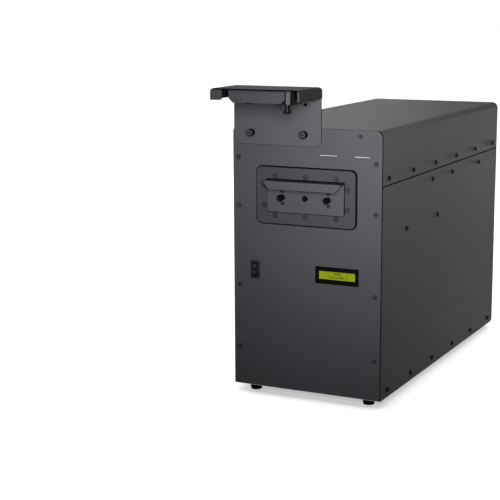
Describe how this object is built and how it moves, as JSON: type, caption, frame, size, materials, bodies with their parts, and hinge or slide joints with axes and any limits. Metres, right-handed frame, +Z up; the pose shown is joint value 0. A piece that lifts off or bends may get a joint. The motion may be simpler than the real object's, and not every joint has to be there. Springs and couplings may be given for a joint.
{
  "type": "hard drive degausser",
  "caption": "Tall sheet-metal pulse degausser with a pull-out drawer for a hard drive, a display, a rocker switch and a hooded camera over the drawer.",
  "frame": {"origin": "centre of the overall box, on the surface that the feet stand on", "axes": "+X to the right seen from the front, +Y from the drawer side to the back, +Z up"},
  "size_m": [0.276, 0.726, 0.5325],
  "materials": {
    "panel_paint": "fine charcoal powder coat",
    "case_paint": "fine dark grey powder coat",
    "surround_paint": "satin grey coat",
    "drawer_paint": "satin grey coat",
    "frame_paint": "black coat",
    "hood_paint": "satin grey coat",
    "zinc_sheet": "zinc plated sheet",
    "black_screws": "black oxide",
    "surround_screws": "grey coated heads",
    "foot_rubber": "moulded black rubber",
    "gasket_rubber": "black sheet rubber",
    "post_metal": "turned and dark plated",
    "black_caps": "moulded black",
    "tray_plastic": "machined black acetal",
    "bar_aluminium": "milled",
    "former_board": "glass filled laminate",
    "winding_copper": "enamelled copper",
    "bus_copper": "bright copper strip",
    "can_sleeve": "shrunk plastic sleeve",
    "core_steel": "stacked laminations",
    "device_ceramic": "glazed",
    "resistor_enamel": "vitreous enamel",
    "board_laminate": "solder mask",
    "standoff_brass": "turned",
    "display_frame": "moulded black",
    "display_module": "backlit panel",
    "display_window": "tinted window",
    "switch_plastic": "moulded black",
    "fan_plastic": "moulded black",
    "guard_steel": "plated",
    "inlet_plastic": "moulded black",
    "knob_metal": "turned with a knurled edge",
    "camera_plastic": "moulded black",
    "lens_barrel": "anodised black",
    "lens_glass": "coated"
  },
  "bodies": {
    "cabinet": {"base_pan": "zinc_sheet", "bezel_gasket": "gasket_rubber", "bezel_screws": "surround_screws", "bleed_resistors": "resistor_enamel", "board_standoffs": "standoff_brass", "bus_bars": "bus_copper", "camera_body": "camera_plastic", "camera_bracket": "hood_paint", "camera_hood": "hood_paint", "camera_lens": "lens_barrel", "capacitor_saddle": "zinc_sheet", "capacitors": "can_sleeve", "coil_cradle": "former_board", "coil_former": "former_board", "coil_shelf": "zinc_sheet", "coil_winding": "winding_copper", "control_board": "board_laminate", "cover_rails": "frame_paint", "cover_screws": "black_screws", "drawer_bezel": "surround_paint", "fan_frame": "fan_plastic", "fan_guard": "guard_steel", "feet": "foot_rubber", "foot_screws": "black_screws", "front_frame": "frame_paint", "front_panel": "panel_paint", "front_screws": "black_screws", "heat_sink": "bar_aluminium", "hood_screws": "surround_screws", "lcd_frame": "display_frame", "lcd_module": "display_module", "lcd_window": "display_window", "lens_glass": "lens_glass", "mains_inlet": "inlet_plastic", "name_plate": "hood_paint", "rear_frame": "frame_paint", "rear_panel": "panel_paint", "rear_screws": "black_screws", "side_left": "case_paint", "side_right": "case_paint", "side_screws": "black_screws", "switch_body": "switch_plastic", "thyristors": "device_ceramic", "top_cover": "case_paint", "transformer_coil": "winding_copper", "transformer_core": "core_steel"},
    "drawer": {"drawer_front": "drawer_paint", "drawer_posts": "post_metal", "drawer_caps": "black_caps", "drawer_screws": "surround_screws", "drawer_tray": "tray_plastic", "runner_left": "bar_aluminium", "runner_right": "bar_aluminium", "drawer_tail": "bar_aluminium"},
    "rocker": {"switch_rocker": "switch_plastic"},
    "left_knob": {"knob_left": "knob_metal"},
    "right_knob": {"knob_right": "knob_metal"},
    "fan": {"fan_rotor": "fan_plastic"}
  },
  "joints": [
    {"name": "drawer_slide", "type": "slide", "parent": "cabinet", "child": "drawer", "axis": [0, -1, 0], "range_m": [0, 0.16]},
    {"name": "rocker_hinge", "type": "hinge", "parent": "cabinet", "child": "rocker", "pos_m": [-0.0941, -0.274, 0.2195], "axis": [1, 0, 0], "range_deg": [0, 22]},
    {"name": "left_knob_turn", "type": "hinge", "parent": "cabinet", "child": "left_knob", "pos_m": [-0.097, -0.279, 0.4545], "axis": [0, 1, 0], "continuous": true},
    {"name": "right_knob_turn", "type": "hinge", "parent": "cabinet", "child": "right_knob", "pos_m": [0, -0.279, 0.4545], "axis": [0, 1, 0], "continuous": true},
    {"name": "fan_spin", "type": "hinge", "parent": "cabinet", "child": "fan", "pos_m": [0, 0.345, 0.3445], "axis": [0, 1, 0], "continuous": true}
  ]
}
